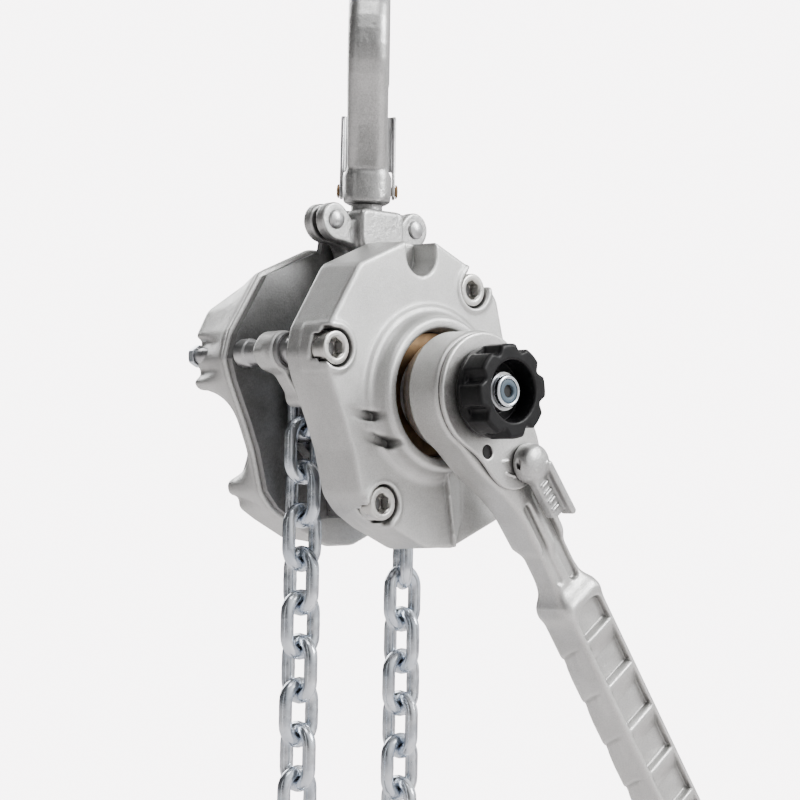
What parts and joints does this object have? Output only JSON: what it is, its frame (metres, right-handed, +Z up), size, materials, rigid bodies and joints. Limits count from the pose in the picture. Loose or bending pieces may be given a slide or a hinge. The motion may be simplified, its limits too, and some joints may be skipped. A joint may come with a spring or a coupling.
{
  "type": "lever chain hoist",
  "caption": "Lever-operated chain hoist with swivelling top and bottom latch hooks, ratchet lever, handwheel, load brake, gear train and link chain.",
  "frame": {"origin": "the saddle of the top hook, where the hoist hangs", "axes": "+Z up, -Y towards the lever and handwheel, +X to the right seen from the lever side"},
  "size_m": [0.2935, 0.1657, 0.586],
  "materials": {
    "casting": "matte silver-grey paint on fine-grained cast aluminium",
    "lever_casting": "satin silver-grey paint, worn on the ribs",
    "forged": "silver paint over forged steel, lightly pitted",
    "zinc": "bright zinc plate",
    "steel": "machined steel",
    "bronze": "dull bronze",
    "friction": "moulded friction lining",
    "knob": "fine-grained black moulding"
  },
  "bodies": {
    "hook_top": {"top_hook": "forged", "top_latch_bolt": "steel"},
    "latch_top": {"top_latch": "zinc"},
    "yoke": {"top_yoke_front": "forged", "top_yoke_rear": "forged", "yoke_rivet_left": "steel", "yoke_rivet_right": "steel"},
    "housing": {"brake_cover": "casting", "gear_cover": "casting", "brake_side_plate": "casting", "gear_side_plate": "casting", "cover_screw_upper_left": "steel", "cover_screw_upper_right": "steel", "cover_screw_lower_right": "steel", "cover_screw_lower_left": "steel", "stay_bolt_upper_left": "steel", "stay_bolt_upper_right": "steel", "stay_bolt_lower_right": "steel", "stay_nut_upper_left": "steel", "stay_nut_upper_right": "steel", "stay_nut_lower_right": "steel", "suspension_pin": "steel", "chain_guide": "casting", "chain_stripper": "steel", "sheave_bearing_front": "bronze", "sheave_bearing_rear": "bronze", "pawl_stud_upper": "steel", "pawl_stud_lower": "steel"},
    "sheave": {"load_sheave": "steel", "load_gear": "steel", "wrapped_chain": "zinc"},
    "drive_shaft": {"pinion_shaft": "steel", "disc_hub": "steel", "retaining_nut": "zinc"},
    "intermediate_upper": {"intermediate_gear_upper": "steel"},
    "intermediate_lower": {"intermediate_gear_lower": "steel"},
    "load_transit": {"load_transit_link": "zinc"},
    "slack_transit": {"slack_transit_link": "zinc"},
    "load_fall": {"load_chain": "zinc"},
    "slack_fall": {"slack_chain": "zinc"},
    "slack_ring": {"slack_end_ring": "zinc"},
    "bottom_yoke": {"bottom_yoke_left": "forged", "bottom_yoke_right": "forged", "chain_pin": "steel"},
    "hook_bottom": {"bottom_hook": "forged", "bottom_latch_bolt": "steel"},
    "latch_bottom": {"bottom_latch": "zinc"},
    "handwheel_hub": {"change_gear": "steel", "handwheel": "knob"},
    "ratchet": {"ratchet_disc": "steel", "friction_disc_inner": "friction", "friction_disc_outer": "friction"},
    "pawl_upper": {"brake_pawl_upper": "steel"},
    "pawl_lower": {"brake_pawl_lower": "steel"},
    "lever": {"lever_housing": "lever_casting", "lever_front_plate": "lever_casting"},
    "selector_shaft": {"selector": "forged", "change_pawl": "steel"}
  },
  "joints": [
    {"name": "top_hook_swivel", "type": "hinge", "parent": "hook_top", "child": "yoke", "pos_m": [0, 0, -0.10432], "axis": [0, 0, 1], "continuous": true},
    {"name": "top_latch_open", "type": "hinge", "parent": "hook_top", "child": "latch_top", "pos_m": [0.00614, 0.00658, -0.08532], "axis": [0.7314, -0.682, 0], "range_deg": [0, 26]},
    {"name": "housing_swing", "type": "hinge", "parent": "yoke", "child": "housing", "pos_m": [0, 0, -0.12932], "axis": [0, 1, 0], "range_deg": [-8, 8]},
    {"name": "sheave_turn", "type": "hinge", "parent": "housing", "child": "sheave", "pos_m": [-0.0046, 0, -0.18932], "axis": [0, 1, 0], "range_deg": [-5.62, 11.25]},
    {"name": "pinion_turn", "type": "hinge", "parent": "housing", "child": "drive_shaft", "pos_m": [-0.0046, 0, -0.18932], "axis": [0, 1, 0], "range_deg": [-95, 185]},
    {"name": "intermediate_upper_turn", "type": "hinge", "parent": "housing", "child": "intermediate_upper", "pos_m": [-0.01656, 0.03, -0.16181], "axis": [0, 1, 0], "range_deg": [-50, 25]},
    {"name": "intermediate_lower_turn", "type": "hinge", "parent": "housing", "child": "intermediate_lower", "pos_m": [0.00736, 0.03, -0.21683], "axis": [0, 1, 0], "range_deg": [-50, 25]},
    {"name": "load_link_turn", "type": "hinge", "parent": "sheave", "child": "load_transit", "pos_m": [-0.03804, 0, -0.18159], "axis": [0, 1, 0], "range_deg": [-12, 6]},
    {"name": "slack_link_turn", "type": "hinge", "parent": "sheave", "child": "slack_transit", "pos_m": [0.02769, 0, -0.17551], "axis": [0, 1, 0], "range_deg": [-12, 6]},
    {"name": "load_chain_swing", "type": "hinge", "parent": "load_transit", "child": "load_fall", "pos_m": [-0.03804, 0, -0.20909], "axis": [0, 1, 0], "range_deg": [-10, 10]},
    {"name": "slack_chain_swing", "type": "hinge", "parent": "slack_transit", "child": "slack_fall", "pos_m": [0.02884, 0, -0.19055], "axis": [0, 1, 0], "range_deg": [-10, 10]},
    {"name": "slack_ring_swing", "type": "hinge", "parent": "slack_fall", "child": "slack_ring", "pos_m": [0.02884, 0, -0.4281], "axis": [1, 0, 0], "range_deg": [-25, 25]},
    {"name": "bottom_yoke_swing", "type": "hinge", "parent": "load_fall", "child": "bottom_yoke", "pos_m": [-0.03804, 0, -0.41219], "axis": [1, 0, 0], "range_deg": [-30, 30]},
    {"name": "bottom_hook_swivel", "type": "hinge", "parent": "bottom_yoke", "child": "hook_bottom", "pos_m": [-0.03804, 0, -0.43369], "axis": [0, 0, 1], "continuous": true},
    {"name": "bottom_latch_open", "type": "hinge", "parent": "hook_bottom", "child": "latch_bottom", "pos_m": [-0.0319, -0.00658, -0.45569], "axis": [0.7314, 0.682, 0], "range_deg": [0, 26]},
    {"name": "handwheel_turn", "type": "hinge", "parent": "drive_shaft", "child": "handwheel_hub", "pos_m": [-0.0046, -0.09, -0.18932], "axis": [0, 1, 0], "range_deg": [-30, 0]},
    {"name": "ratchet_turn", "type": "hinge", "parent": "housing", "child": "ratchet", "pos_m": [-0.0046, -0.04, -0.18932], "axis": [0, 1, 0], "continuous": true},
    {"name": "brake_pawl_upper_lift", "type": "hinge", "parent": "housing", "child": "pawl_upper", "pos_m": [-0.00704, -0.04, -0.14939], "axis": [0, 1, 0], "range_deg": [0, 12]},
    {"name": "brake_pawl_lower_lift", "type": "hinge", "parent": "housing", "child": "pawl_lower", "pos_m": [-0.00216, -0.04, -0.22924], "axis": [0, 1, 0], "range_deg": [0, 12]},
    {"name": "lever_turn", "type": "hinge", "parent": "housing", "child": "lever", "pos_m": [-0.0046, -0.08, -0.18932], "axis": [0, 1, 0], "continuous": true},
    {"name": "selector_turn", "type": "hinge", "parent": "lever", "child": "selector_shaft", "pos_m": [0.02251, -0.09, -0.22153], "axis": [0, 1, 0], "range_deg": [-18, 18]}
  ],
  "couplings": [
    {"joint": "pinion_turn", "follows": "sheave_turn", "ratio": 16},
    {"joint": "intermediate_upper_turn", "follows": "sheave_turn", "ratio": -4},
    {"joint": "intermediate_lower_turn", "follows": "sheave_turn", "ratio": -4},
    {"joint": "load_link_turn", "follows": "sheave_turn", "ratio": -1},
    {"joint": "slack_link_turn", "follows": "sheave_turn", "ratio": -1},
    {"joint": "load_chain_swing", "follows": "housing_swing", "ratio": -1},
    {"joint": "slack_chain_swing", "follows": "housing_swing", "ratio": -1}
  ]
}
